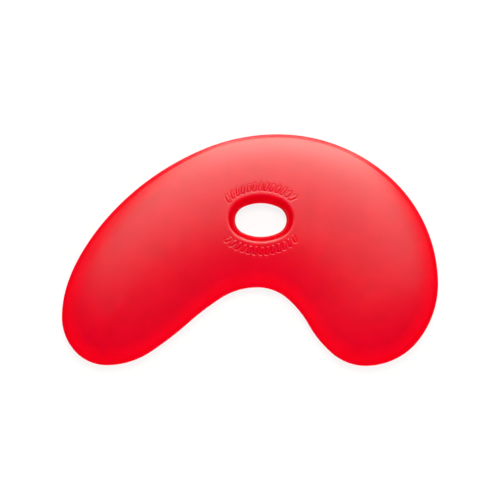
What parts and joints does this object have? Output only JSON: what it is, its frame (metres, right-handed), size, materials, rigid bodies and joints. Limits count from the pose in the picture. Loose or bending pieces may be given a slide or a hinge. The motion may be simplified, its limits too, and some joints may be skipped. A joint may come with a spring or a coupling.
{
  "type": "pottery rib",
  "caption": "Soft one-piece pottery rib: a kidney-shaped blade, crowned on top and thin at its edge, with an oval finger hole.",
  "frame": {"origin": "on the underside, below the middle of the outline", "axes": "+X along the blade's length, +Y towards the long curved back, +Z through the thickness"},
  "size_m": [0.165, 0.1036, 0.0064],
  "materials": {
    "blade": "satin"
  },
  "bodies": {
    "root": {"rib_blade": "blade"}
  },
  "joints": []
}
